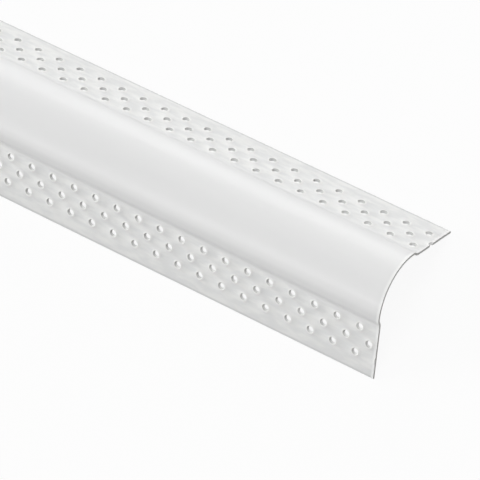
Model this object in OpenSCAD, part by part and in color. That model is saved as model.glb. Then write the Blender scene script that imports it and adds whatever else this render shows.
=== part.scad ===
// Bullnose drywall corner bead: one extruded vinyl section with two perforated flanges.
// X runs along the stock, Z is up, the bead lies on its two free flange edges with the nose on top.

/* [Stock] */
// Overall length of the stock, end to end
length = 2438.4; // [300:0.1:3100]
// Wall of the extrusion
wall = 0.9; // [0.6:0.05:1.5]

/* [Bullnose] */
// Outer radius of the rounded nose
nose_radius = 19.95; // [12:0.05:40]
// Height the nose stands proud of the flange faces
nose_proud = 1.2; // [0.4:0.05:2]
// Width of the rolled step from the nose down to a flange
step_width = 3.6; // [1.5:0.05:6]

/* [Flanges] */
// Width of a flange, from the foot of the step to the free edge
flange_width = 21.9; // [19:0.05:50]

/* [Perforation] */
// Hole diameter
hole_diameter = 2.8; // [1.5:0.05:4]
// Hole spacing along a row
hole_pitch = 10; // [7:0.05:14]
// Distance between rows
row_spacing = 5.54; // [4:0.01:8]
// Inner hole row, from the foot of the step
row_inset = 2.95; // [2.2:0.05:20]
// A hole of the inner row on the +Y flange, back from the +X end
phase_right = 6.85; // [0:0.01:14]
// A hole of the inner row on the -Y flange, back from the +X end
phase_left = 9.3; // [0:0.01:14]

/* [Near end] */
// Lean of the +X cut, which leaves the free edges longer than the nose, degrees
cut_lean = 3.0; // [0:0.1:8]
// Turn of the +X cut, which leaves the -Y flange longer than the other, degrees
cut_turn = 2.0; // [0:0.1:8]

/* [Hidden] */
$fn = 96;
// centre of the nose arc, measured from the corner of the flange faces
nose_centre = nose_radius - nose_proud;
// the step is two equal bends, one rolling off the nose and one running out on the flange
step_turn = 2 * atan(nose_proud / step_width);
step_radius = step_width / 2 / sin(step_turn);
flange_start = nose_centre + step_width;
// free edge and inner hole row, measured from the corner of the flange faces
flange_reach = flange_start + flange_width;
row_start = flange_start + row_inset;
// height of the corner of the flange faces above the floor
drop = (flange_reach + wall) / sqrt(2);
// the cut reaches the full length at the lowest corner of the -Y flange
tip_y = -(flange_reach - wall) / sqrt(2);
cut_x = length / 2 + tan(cut_turn) * tip_y;
holes = floor(length / hole_pitch) + 2;
// reach of the cutting shapes, well past what they cut
past = nose_radius + flange_reach;

module ring(outer) {
  difference() {
    circle(r = outer);
    if (outer > wall) circle(r = outer - wall);
  }
}

// corner-shaped slice from one direction to another, to cut a length of ring
module slice(from, to) {
  polygon([[0, 0], past * [cos(from), sin(from)], past * [cos(to), sin(to)]]);
}

module nose_section() {
  translate([nose_centre, nose_centre]) intersection() {
    ring(nose_radius);
    translate([-past, -past]) square(past);
  }
}

module step_section() {
  translate([nose_centre, step_radius - nose_proud]) intersection() {
    ring(step_radius);
    slice(-90, -90 + step_turn);
  }
  translate([flange_start, -step_radius]) intersection() {
    ring(step_radius + wall);
    slice(90, 90 + step_turn);
  }
}

// one flange drawn flat: x along the stock, y away from the corner
module flange(first, dir) {
  linear_extrude(height = wall) difference() {
    translate([0, flange_start]) square([length, flange_reach - flange_start]);
    for (row = [0:2]) for (i = [-2:holes])
      let (x = first + dir * (i + (row % 2) / 2) * hole_pitch)
      if (x > -hole_diameter && x < length + hole_diameter)
        translate([x, row_start + row * row_spacing]) circle(d = hole_diameter);
  }
}

module corner_bead() {
  color([0.90, 0.91, 0.90]) difference() {
    translate([0, 0, drop]) {
      translate([-length / 2, 0, 0]) rotate([90, 0, 90]) linear_extrude(height = length) rotate(-135) {
        nose_section();
        step_section();
        mirror([1, -1]) step_section();
      }
      translate([length / 2, 0, 0]) rotate([-135, 0, 180]) flange(phase_right, 1);
      translate([-length / 2, 0, 0]) rotate([-135, 0, 0]) flange(length - phase_left, -1);
    }
    // near end cut
    translate([cut_x, 0, 0]) rotate([0, -cut_lean, cut_turn])
      translate([0, -past, -past]) cube(2 * past);
  }
}

corner_bead();
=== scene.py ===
"""White vinyl bullnose corner bead: a detailed skin over the CAD solid, its floor, light and camera."""
import math

import bmesh
import bpy
import numpy as np
from mathutils import Matrix, Vector


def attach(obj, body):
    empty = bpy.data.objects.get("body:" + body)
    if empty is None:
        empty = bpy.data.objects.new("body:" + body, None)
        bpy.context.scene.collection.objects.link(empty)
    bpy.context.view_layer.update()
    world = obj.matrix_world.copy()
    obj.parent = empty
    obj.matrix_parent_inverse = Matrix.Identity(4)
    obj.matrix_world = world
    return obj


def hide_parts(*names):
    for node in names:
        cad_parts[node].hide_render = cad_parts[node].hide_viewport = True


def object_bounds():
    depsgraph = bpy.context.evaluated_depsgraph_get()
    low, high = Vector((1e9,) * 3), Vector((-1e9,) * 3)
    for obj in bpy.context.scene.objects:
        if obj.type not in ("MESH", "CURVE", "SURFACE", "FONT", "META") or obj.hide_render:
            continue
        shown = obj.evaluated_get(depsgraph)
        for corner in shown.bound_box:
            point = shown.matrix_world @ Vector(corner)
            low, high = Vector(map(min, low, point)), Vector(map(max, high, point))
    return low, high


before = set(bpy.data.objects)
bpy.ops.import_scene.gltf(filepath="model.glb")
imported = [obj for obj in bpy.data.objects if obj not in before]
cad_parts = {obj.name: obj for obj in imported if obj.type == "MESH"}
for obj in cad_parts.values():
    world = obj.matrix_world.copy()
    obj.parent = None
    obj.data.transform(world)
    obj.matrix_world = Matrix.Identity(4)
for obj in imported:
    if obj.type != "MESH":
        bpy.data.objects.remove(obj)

CAD_LOW, CAD_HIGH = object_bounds()
MM = 0.001
ROOT2 = math.sqrt(2)

# Section, perforation and near cut, in mm, as in the part's source
LENGTH = 2438.4
WALL = 0.9
NOSE_RADIUS = 19.95
NOSE_PROUD = 1.2
STEP_WIDTH = 3.6
FLANGE_WIDTH = 21.9
PITCH = 10.0
ROWS = 3
ROW_SPACING = 5.54
ROW_INSET = 2.95
PHASE_RIGHT = 6.85
PHASE_LEFT = 9.3
CUT_LEAN = math.radians(3.0)
CUT_TURN = math.radians(2.0)

# Places in the section, measured from the corner of the flange faces, which lies DROP above the floor
NOSE_CENTRE = NOSE_RADIUS - NOSE_PROUD
STEP_TURN = 2 * math.atan(NOSE_PROUD / STEP_WIDTH)
STEP_RADIUS = STEP_WIDTH / 2 / math.sin(STEP_TURN)
FLANGE_START = NOSE_CENTRE + STEP_WIDTH
REACH = FLANGE_START + FLANGE_WIDTH
ROW_START = FLANGE_START + ROW_INSET
DROP = (REACH + WALL) / ROOT2

# Both ends, each as the place where its plane crosses the X axis and its outward direction
CUT_X = LENGTH / 2 - math.tan(CUT_TURN) * (REACH - WALL) / ROOT2
NEAR_NORMAL = Vector((math.cos(CUT_LEAN) * math.cos(CUT_TURN),
                      math.cos(CUT_LEAN) * math.sin(CUT_TURN),
                      math.sin(CUT_LEAN)))
FAR_NORMAL = Vector((-1, 0, 0))
ENDS = ((CUT_X, NEAR_NORMAL), (-LENGTH / 2, FAR_NORMAL))

# Punched hole, in mm: a raised rim, a mouth that slopes inwards and a narrow throat.
# Heights stand above the flange's outer face, the depth lies below it.
RIM_FOOT = 2.2
RIM_BROW = 1.68
BROW_HEIGHT = 0.13
RIM_CREST = 1.51
CREST_HEIGHT = 0.16
MOUTH_RADIUS = 1.35
MOUTH_HEIGHT = 0.01
THROAT_RADIUS = 1.17
THROAT_DEPTH = 0.25
BACK_RADIUS = 1.12

# Corners of the free edges, outer and inner, in mm
EDGE_ROUND = 0.5
BACK_ROUND = 0.12

# Vertex marks around the holes: above 0 on a whitened rim, below 0 in the mouth, where shade is painted
RIM_AND_SHADE_MARK = "rim_and_shade_mark"
RIM_WHITEN = 0.9
MOUTH_SHADE = 0.8

# Fineness of the mesh; holes up to FINE_LENGTH mm from the near end get the whole relief
FINE_LENGTH = 250.0
FINE_SEGMENTS = 24
PLAIN_SEGMENTS = 10
COARSE_STATIONS = 64
ROOT_STEPS = 7
SHOULDER_STEPS = 8
NOSE_STEPS = 40
EDGE_STEPS = 6
BACK_STEPS = 2
SHARP_ANGLE = math.radians(62)

# Flat margin beside a step, and what the skin runs past each end before it is cut, in mm
STEP_MARGIN = 0.12
OVERRUN = 14.0
# Tolerances of the weld and the cuts, in metres
WELD_GAP = 2e-6
CUT_GAP = 1e-7


class Shell:
    """Patches of vertices (mm, in the part's frame) with their marks for whitened rims and painted shade,
    and the faces on them.
    """

    def __init__(self):
        self.verts, self.marks, self.faces, self.count = [], [], [], 0

    def add(self, verts, faces, marks=0.0):
        self.verts.append(np.asarray(verts, float))
        self.marks.append(np.broadcast_to(marks, len(verts)))
        self.faces.extend(tuple(int(i) + self.count for i in f) for f in faces)
        self.count += len(verts)


def to_world(a, b, e):
    """Section point, a down the +Y flange and b down the -Y one, at distance e back from the +X end."""
    a, b, e = np.broadcast_arrays(np.asarray(a, float), np.asarray(b, float), np.asarray(e, float))
    return np.stack([LENGTH / 2 - e, (a - b) / ROOT2, DROP - (a + b) / ROOT2], -1)


def on_flange(side, u, n, e):
    """Point at u along a flange from the corner, n inward of its outer face."""
    return to_world(u, n, e) if side == "right" else to_world(n, u, e)


def zipper(a, b, closed):
    """Triangles between two rows of (position, index) in rising order; a closed row is a loop of angles."""

    def at(row, k):
        turns, k = divmod(k, len(row))
        return row[k][0] + turns * 2 * math.pi, row[k][1]

    tris, i, j = [], 0, 0
    na, nb = len(a) - (not closed), len(b) - (not closed)
    while i < na or j < nb:
        if j >= nb or (i < na and at(a, i + 1)[0] <= at(b, j + 1)[0]):
            tris.append((at(a, i)[1], at(a, i + 1)[1], at(b, j)[1]))
            i += 1
        else:
            tris.append((at(a, i)[1], at(b, j + 1)[1], at(b, j)[1]))
            j += 1
    return tris


def cell_template(segments, profile):
    """One punched cell: (along, across, depth) offsets from the hole's centre, faces and marks for the
    whitened rim and the mouth's painted shade.

    The profile gives the hole's rings as (radius, depth, mark), from the outer face to the inner one.
    """
    half_e, half_u = PITCH / 2, ROW_SPACING / 2
    border = [(half_e, half_u), (0, half_u), (-half_e, half_u),
              (-half_e, -half_u), (0, -half_u), (half_e, -half_u)]
    verts = [(x, y, 0.0) for x, y in border] + [(x, y, WALL) for x, y in border]
    outer, inner = range(len(border)), range(len(border), len(verts))
    marks = [0.0] * len(verts)
    turns = [2 * math.pi * k / segments for k in range(segments)]
    rings = []
    for radius, depth, mark in profile:
        marks += [mark] * segments
        rings.append(range(len(verts), len(verts) + segments))
        verts += [(radius * math.cos(t), radius * math.sin(t), depth) for t in turns]

    def loop(indices):
        return sorted((math.atan2(verts[k][1], verts[k][0]) % (2 * math.pi), k) for k in indices)

    faces = zipper(loop(outer), loop(rings[0]), True)
    for upper, lower in zip(rings, rings[1:]):
        for k in range(segments):
            m = (k + 1) % segments
            faces.append((upper[k], upper[m], lower[m], lower[k]))
    faces += zipper(loop(rings[-1]), loop(inner), True)
    return np.array(verts), faces, np.array(marks)


def perforated(shell, side, phase):
    """Staggered rows of punched cells on one flange; returns where their borders have points."""
    foot, back = (RIM_FOOT, 0.0, 0.0), (BACK_RADIUS, WALL, 0.0)
    brow, crest = (RIM_BROW, -BROW_HEIGHT, RIM_WHITEN), (RIM_CREST, -CREST_HEIGHT, RIM_WHITEN)
    mouth, throat = (MOUTH_RADIUS, -MOUTH_HEIGHT, -MOUTH_SHADE), (THROAT_RADIUS, THROAT_DEPTH, 0.0)
    fine = cell_template(FINE_SEGMENTS, [foot, brow, crest, mouth, throat, back])
    plain = cell_template(PLAIN_SEGMENTS, [foot, crest, throat, back])
    first = math.floor((-OVERRUN - phase) / PITCH)
    last = math.ceil((LENGTH + OVERRUN - phase) / PITCH)
    for row in range(ROWS):
        u = ROW_START + row * ROW_SPACING
        for i in range(first, last + 1):
            e = phase + (i + row % 2 / 2) * PITCH
            verts, faces, marks = fine if e < FINE_LENGTH else plain
            shell.add(on_flange(side, u + verts[:, 1], verts[:, 2], e + verts[:, 0]), faces, marks)
    return [phase + k * PITCH / 2 for k in range(2 * first - 1, 2 * last + 2)]


def sweep(shell, path, stations):
    """A section path carried along the stock."""
    a, b = np.transpose(path)
    n = len(path)
    verts = np.concatenate([to_world(a, b, e) for e in stations])
    faces = [(s * n + k, s * n + k + 1, (s + 1) * n + k + 1, (s + 1) * n + k)
             for s in range(len(stations) - 1) for k in range(n - 1)]
    shell.add(verts, faces)


def strip(shell, side, n, u_dense, dense, u_coarse, coarse):
    """Flat strip of a flange between the border of the cells and a plain line."""
    verts = np.concatenate([on_flange(side, u_dense, n, dense), on_flange(side, u_coarse, n, coarse)])
    a = [(e, k) for k, e in enumerate(dense)]
    b = [(e, k + len(dense)) for k, e in enumerate(coarse)]
    shell.add(verts, zipper(a, b, False))


def arc(centre, radius, start, end, steps):
    """Points on a circle from one direction to another, in degrees."""
    turns = [math.radians(t) for t in np.linspace(start, end, steps + 1)]
    return [(centre[0] + radius * math.cos(t), centre[1] + radius * math.sin(t)) for t in turns]


def mirrored(path):
    """The same path on the other flange, run the other way."""
    return [(b, a) for a, b in reversed(path)]


def nose_path(inner):
    """Outer or inner line of the nose and its two rolled steps, from the +Y flange to the -Y one."""
    offset = WALL if inner else 0.0
    turn = math.degrees(STEP_TURN)
    root = arc((FLANGE_START, -STEP_RADIUS), STEP_RADIUS + offset, 90, 90 + turn, ROOT_STEPS)
    shoulder = arc((NOSE_CENTRE, STEP_RADIUS - NOSE_PROUD), STEP_RADIUS - offset, turn - 90, -90,
                   SHOULDER_STEPS)
    half = [(FLANGE_START + STEP_MARGIN, offset)] + root + shoulder[1:]
    nose = arc((NOSE_CENTRE, NOSE_CENTRE), NOSE_RADIUS - offset, -90, -180, NOSE_STEPS)
    return half + nose[1:-1] + mirrored(half)


def edge_path():
    """Rounded free edge of the +Y flange, outer face to inner face."""
    r, s = EDGE_ROUND, BACK_ROUND
    return arc((REACH - r, r), r, -90, 0, EDGE_STEPS) + arc((REACH - s, WALL - s), s, 0, 90, BACK_STEPS)


def bead_shell():
    """The whole skin as patches that meet along their borders, open and overlong at both ends."""
    shell = Shell()
    coarse = list(np.linspace(-OVERRUN, LENGTH + OVERRUN, COARSE_STATIONS))
    for path in (nose_path(False), nose_path(True), edge_path(), mirrored(edge_path())):
        sweep(shell, path, coarse)
    low = ROW_START - ROW_SPACING / 2
    high = low + ROWS * ROW_SPACING
    for side, phase in (("right", PHASE_RIGHT), ("left", PHASE_LEFT)):
        dense = perforated(shell, side, phase)
        for n, edge in ((0.0, EDGE_ROUND), (WALL, BACK_ROUND)):
            strip(shell, side, n, low, dense, FLANGE_START + STEP_MARGIN, coarse)
            strip(shell, side, n, high, dense, REACH - edge, coarse)
    return shell


def cut_ends(bm):
    """Cuts the overlong skin at both ends and closes it there."""
    for x, normal in ENDS:
        cut = bmesh.ops.bisect_plane(bm, geom=bm.verts[:] + bm.edges[:] + bm.faces[:], dist=CUT_GAP,
                                     plane_co=Vector((x * MM, 0, 0)), plane_no=normal, clear_outer=True)
        edges = [g for g in cut["geom_cut"] if isinstance(g, bmesh.types.BMEdge)]
        bmesh.ops.triangle_fill(bm, edges=edges, use_beauty=True, normal=normal)


def bead_mesh():
    """The skin as one closed mesh."""
    shell = bead_shell()
    mesh = bpy.data.meshes.new("corner_bead_skin")
    verts = np.concatenate(shell.verts) * MM
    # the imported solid's nose is faceted, a hair lower than the true arc, and the skin stays inside it
    verts[:, 2] *= (CAD_HIGH[2] - CAD_LOW[2]) / verts[:, 2].max()
    mesh.from_pydata(verts.tolist(), [], shell.faces)
    marks = mesh.attributes.new(RIM_AND_SHADE_MARK, "FLOAT", "POINT")
    marks.data.foreach_set("value", np.concatenate(shell.marks))
    bm = bmesh.new()
    bm.from_mesh(mesh)
    bmesh.ops.remove_doubles(bm, verts=bm.verts, dist=WELD_GAP)
    cut_ends(bm)
    bmesh.ops.recalc_face_normals(bm, faces=bm.faces)
    bm.to_mesh(mesh)
    bm.free()
    mesh.shade_smooth()
    mesh.set_sharp_from_angle(angle=SHARP_ANGLE)
    return mesh


def put(name, data):
    """A new object with this data, linked into the scene."""
    obj = bpy.data.objects.new(name, data)
    bpy.context.scene.collection.objects.link(obj)
    return obj


def emptied_tree(owner):
    """The node tree of a material or world, with no nodes in it."""
    owner.use_nodes = True
    owner.node_tree.nodes.clear()
    return owner.node_tree


def node(tree, kind, **inputs):
    """A new node with plain values on its named inputs."""
    n = tree.nodes.new(kind)
    for key, value in inputs.items():
        n.inputs[key].default_value = value
    return n


def feed(tree, socket, value):
    """Links a socket to another, or sets it to a plain value."""
    if isinstance(value, bpy.types.NodeSocket):
        tree.links.new(value, socket)
    else:
        socket.default_value = value


def calc(tree, operation, *values):
    """Arithmetic on one or two values."""
    n = node(tree, "ShaderNodeMath")
    n.operation = operation
    for socket, value in zip(n.inputs, values):
        feed(tree, socket, value)
    return n.outputs[0]


def dot(tree, vector, axis):
    """How far a vector reaches along an axis."""
    n = node(tree, "ShaderNodeVectorMath")
    n.operation = "DOT_PRODUCT"
    n.inputs[1].default_value = axis
    feed(tree, n.inputs[0], vector)
    return n.outputs["Value"]


def rise(tree, value, start, end, low=0.0, high=1.0):
    """Smooth change from low to high while the value goes from start to end."""
    n = node(tree, "ShaderNodeMapRange")
    n.interpolation_type = "SMOOTHSTEP"
    limits = {"From Min": start, "From Max": end, "To Min": low, "To Max": high}
    for key, setting in {"Value": value, **limits}.items():
        feed(tree, n.inputs[key], setting)
    return n.outputs[0]


def rise_mm(tree, value, limits, low=0.0, high=1.0):
    """The same change over limits in mm."""
    start, end = limits
    return rise(tree, value, start * MM, end * MM, low, high)


def tint(tree, factor, first, second):
    """A colour between the first, at 0, and the second, at 1."""
    n = node(tree, "ShaderNodeMix")
    n.data_type = "RGBA"
    feed(tree, n.inputs["Factor"], factor)
    feed(tree, n.inputs["A"], first)
    feed(tree, n.inputs["B"], second)
    return n.outputs["Result"]


def noise(tree, place, scale, detail):
    """Noise with a scale of its own along each axis."""
    stretched = node(tree, "ShaderNodeMapping", Scale=scale)
    feed(tree, stretched.inputs["Vector"], place)
    n = node(tree, "ShaderNodeTexNoise", Scale=1.0, Detail=detail)
    feed(tree, n.inputs["Vector"], stretched.outputs[0])
    return n.outputs[0]


def mix_into(tree, output, factor, first, second):
    """Sends an output the first shader where the factor is 0 and the second where it is 1."""
    n = node(tree, "ShaderNodeMixShader")
    for socket, value in zip(n.inputs, (factor, first.outputs[0], second.outputs[0])):
        feed(tree, socket, value)
    feed(tree, output.inputs[0], n.outputs[0])


# Vinyl colours, linear
VINYL_COOL = (0.828, 0.830, 0.829, 1)
VINYL_WARM = (0.850, 0.851, 0.848, 1)
# painted shade under the nose, along the shoulders
SHOULDER_PAINTED_SHADE = (0.775, 0.777, 0.775, 1)
FLANGE_DULL = (0.80, 0.806, 0.802, 1)
FLANGE_PALE = (0.885, 0.888, 0.874, 1)
RIM_PALE = (0.94, 0.94, 0.92, 1)
# painted shade, in the hole mouths and on the cut faces
PAINTED_SHADE_GREY = (0.56, 0.56, 0.54, 1)
# painted shade along the free edges
EDGE_PAINTED_SHADE = (0.66, 0.67, 0.665, 1)
CUT_WHITE = (0.96, 0.96, 0.95, 1)

# Where a look fades in, in mm: down either flange from the corner
SHOULDER_IN = (15.5, 18.2)
SHOULDER_OUT = (19.2, 20.8)
BAND_IN = (FLANGE_START - 0.3, FLANGE_START + 0.5)
EDGE_IN = (REACH - 1.4, REACH - 0.5)
# towards an end, as distances left to it
CUT_IN = (1.5, 0.3)
# distances over which shade is painted onto the cut faces
CUT_FACE_SHADE = (0.06, 0.02)
# and across the top of the nose, where the shoulder's painted shade drops to its share on the +Y side
SIDE_CHANGE = (-1.2, 1.2)
RIGHT_SHARE = 0.25

# Mottling and die lines: noise scales per metre, and the noise limits between two looks
BLOTCH_SCALE = (9, 60, 60)
BLOTCH_LIMITS = (0.3, 0.7)
STREAK_SCALE = (140, 420, 420)
STREAK_LIMITS = (0.33, 0.67)
MOTTLE_DETAIL = 3
LINE_SCALE = (6, 900, 900)
LINE_LIMITS = (0.25, 0.75)
LINE_DETAIL = 2
LINE_BUMP = 0.12
LINE_DEPTH = 0.05 * MM

# Gloss
VINYL_IOR = 1.5
ROUGHNESS = (0.36, 0.46)
BAND_ROUGHER = 0.06


def near_an_end(t, place, limits):
    """1 at the face of either end, 0 further in."""
    shares = [rise_mm(t, dot(t, place, normal), [x * normal.x - left for left in limits])
              for x, normal in ENDS]
    return calc(t, "MAXIMUM", *shares)


def vinyl_colour(t, place, y, down, on_band):
    """White vinyl, blotched along the stock and streaked on the flanges, whitened at hole rims and near the
    cut ends, with painted shade on the shoulders, hole mouths, free edges and cut faces.
    """
    blotches = rise(t, noise(t, place, BLOTCH_SCALE, MOTTLE_DETAIL), *BLOTCH_LIMITS)
    streaks = rise(t, noise(t, place, STREAK_SCALE, MOTTLE_DETAIL), *STREAK_LIMITS)
    on_shoulder = calc(t, "SUBTRACT", rise_mm(t, down, SHOULDER_IN), rise_mm(t, down, SHOULDER_OUT))
    side_share = rise_mm(t, y, SIDE_CHANGE, 1.0, RIGHT_SHARE)
    rim_and_shade_reader = node(t, "ShaderNodeAttribute")
    rim_and_shade_reader.attribute_name = RIM_AND_SHADE_MARK
    rim_and_mouth_marks = rim_and_shade_reader.outputs["Fac"]
    layers = (
        # painted shade along the shoulders, full on the -Y side
        (calc(t, "MULTIPLY", on_shoulder, side_share), SHOULDER_PAINTED_SHADE),
        (on_band, tint(t, streaks, FLANGE_DULL, FLANGE_PALE)),
        (rim_and_mouth_marks, RIM_PALE),
        # painted shade in the hole mouths
        (calc(t, "MULTIPLY", rim_and_mouth_marks, -1), PAINTED_SHADE_GREY),
        # painted shade along the free edges
        (rise_mm(t, down, EDGE_IN), EDGE_PAINTED_SHADE),
        (near_an_end(t, place, CUT_IN), CUT_WHITE),
        # painted shade on the cut faces
        (near_an_end(t, place, CUT_FACE_SHADE), PAINTED_SHADE_GREY),
    )
    colour = tint(t, blotches, VINYL_COOL, VINYL_WARM)
    for share, over in layers:
        colour = tint(t, share, colour, over)
    return colour


def vinyl():
    """Satin white vinyl with die lines along the stock, a little rougher on the flanges."""
    mat = bpy.data.materials.new("white_vinyl")
    t = emptied_tree(mat)
    out = node(t, "ShaderNodeOutputMaterial")
    bsdf = node(t, "ShaderNodeBsdfPrincipled", IOR=VINYL_IOR)
    feed(t, out.inputs[0], bsdf.outputs[0])
    place = node(t, "ShaderNodeTexCoord").outputs["Object"]
    axes = node(t, "ShaderNodeSeparateXYZ")
    feed(t, axes.inputs[0], place)
    y = axes.outputs["Y"]
    # distance down either flange from the corner
    fall = calc(t, "SUBTRACT", DROP * MM, axes.outputs["Z"])
    down = calc(t, "DIVIDE", calc(t, "ADD", calc(t, "ABSOLUTE", y), fall), ROOT2)
    on_band = rise_mm(t, down, BAND_IN)
    feed(t, bsdf.inputs["Base Color"], vinyl_colour(t, place, y, down, on_band))
    lines = noise(t, place, LINE_SCALE, LINE_DETAIL)
    roughness = rise(t, lines, *LINE_LIMITS, *ROUGHNESS)
    rougher = calc(t, "MULTIPLY", on_band, BAND_ROUGHER)
    feed(t, bsdf.inputs["Roughness"], calc(t, "ADD", roughness, rougher))
    bump = node(t, "ShaderNodeBump", Strength=LINE_BUMP, Distance=LINE_DEPTH)
    feed(t, bump.inputs["Height"], lines)
    feed(t, bsdf.inputs["Normal"], bump.outputs[0])
    return mat


bead = put("corner_bead_skin", bead_mesh())
bead.data.materials.append(vinyl())
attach(bead, "root")
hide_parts("corner_bead")

# Floor, in metres: pale, whitened for the camera, with the object's shadow kept
FLOOR_HALF = 150.0
FLOOR_PALE = (0.82, 0.82, 0.82, 1)
FLOOR_WHITEN = 0.93
WHITE = (1, 1, 1, 1)


def seen_directly(tree):
    """1 for camera, glossy and transmission rays."""
    rays = node(tree, "ShaderNodeLightPath").outputs
    first = calc(tree, "MAXIMUM", rays["Is Camera Ray"], rays["Is Glossy Ray"])
    return calc(tree, "MAXIMUM", first, rays["Is Transmission Ray"])


def floor_material():
    mat = bpy.data.materials.new("floor_pale")
    t = emptied_tree(mat)
    out = node(t, "ShaderNodeOutputMaterial")
    matte = node(t, "ShaderNodeBsdfDiffuse", Color=FLOOR_PALE)
    glow = node(t, "ShaderNodeEmission", Color=WHITE, Strength=1.0)
    mix_into(t, out, calc(t, "MULTIPLY", seen_directly(t), FLOOR_WHITEN), matte, glow)
    return mat


def floor_mesh():
    corners = [(x * FLOOR_HALF, y * FLOOR_HALF, 0) for x, y in ((-1, -1), (1, -1), (1, 1), (-1, 1))]
    mesh = bpy.data.meshes.new("floor")
    mesh.from_pydata(corners, [], [(0, 1, 2, 3)])
    mesh.materials.append(floor_material())
    return mesh


floor = put("floor", floor_mesh())

# Soft surround: bright from above and from the far end, dim from the near end, white where it is seen
LIGHT_AXIS = (-0.62, 0.18, 0.76)
SKY_LIMITS = (-0.35, 0.75)
SKY_DIM = 0.12
SKY_BRIGHT = 0.28


def surround():
    world = bpy.data.worlds.new("surround")
    bpy.context.scene.world = world
    t = emptied_tree(world)
    out = node(t, "ShaderNodeOutputWorld")
    direction = node(t, "ShaderNodeTexCoord").outputs["Generated"]
    strength = rise(t, dot(t, direction, LIGHT_AXIS), *SKY_LIMITS, SKY_DIM, SKY_BRIGHT)
    soft = node(t, "ShaderNodeBackground")
    feed(t, soft.inputs["Strength"], strength)
    white = node(t, "ShaderNodeBackground", Color=WHITE, Strength=1.0)
    mix_into(t, out, seen_directly(t), soft, white)


def soft_sun(name, toward, strength, spread, gleam=False):
    """A distant soft light from the given direction; a gleam only shows in the vinyl's gloss."""
    data = bpy.data.lights.new(name, "SUN")
    data.energy = strength
    data.angle = math.radians(spread)
    light = put(name, data)
    light.visible_glossy = gleam
    light.visible_diffuse = not gleam
    light.rotation_mode = "QUATERNION"
    light.rotation_quaternion = (-Vector(toward)).to_track_quat("-Z", "Y")


surround()
soft_sun("key_far", toward=(-0.941, -0.249, 0.229), strength=2.44, spread=30)
soft_sun("key_top", toward=(0.0, 0.15, 0.989), strength=1.4, spread=40)
soft_sun("key_side", toward=(-0.60, 0.79, 0.08), strength=1.67, spread=40)
soft_sun("gleam_low", toward=(-0.42, -0.629, 0.652), strength=0.6, spread=18, gleam=True)
soft_sun("gleam_high", toward=(-0.42, 0.834, 0.354), strength=0.45, spread=28, gleam=True)

# Camera, in metres, fitted to the hole rows and the cut end in the photograph
CAMERA_AT = Vector((1.811282, -0.255923, 1.421104))
CAMERA_RIGHT = Vector((0.817613, 0.493214, -0.297067))
CAMERA_UP = Vector((-0.3942, 0.855578, 0.335547))
FOCAL_PIXELS = 4244.3
IMAGE_PIXELS = 480
SENSOR_MM = 36
CLIP_START = 0.05
CLIP_END = 500


def photo_camera():
    data = bpy.data.cameras.new("camera")
    data.sensor_width = SENSOR_MM
    data.lens = FOCAL_PIXELS * SENSOR_MM / IMAGE_PIXELS
    data.clip_start = CLIP_START
    data.clip_end = CLIP_END
    camera = put("camera", data)
    right = CAMERA_RIGHT.normalized()
    back = right.cross(CAMERA_UP).normalized()
    up = back.cross(right)
    camera.matrix_world = Matrix.Translation(CAMERA_AT) @ Matrix((right, up, back)).transposed().to_4x4()
    bpy.context.scene.camera = camera


photo_camera()
bpy.context.scene.view_settings.view_transform = "Standard"
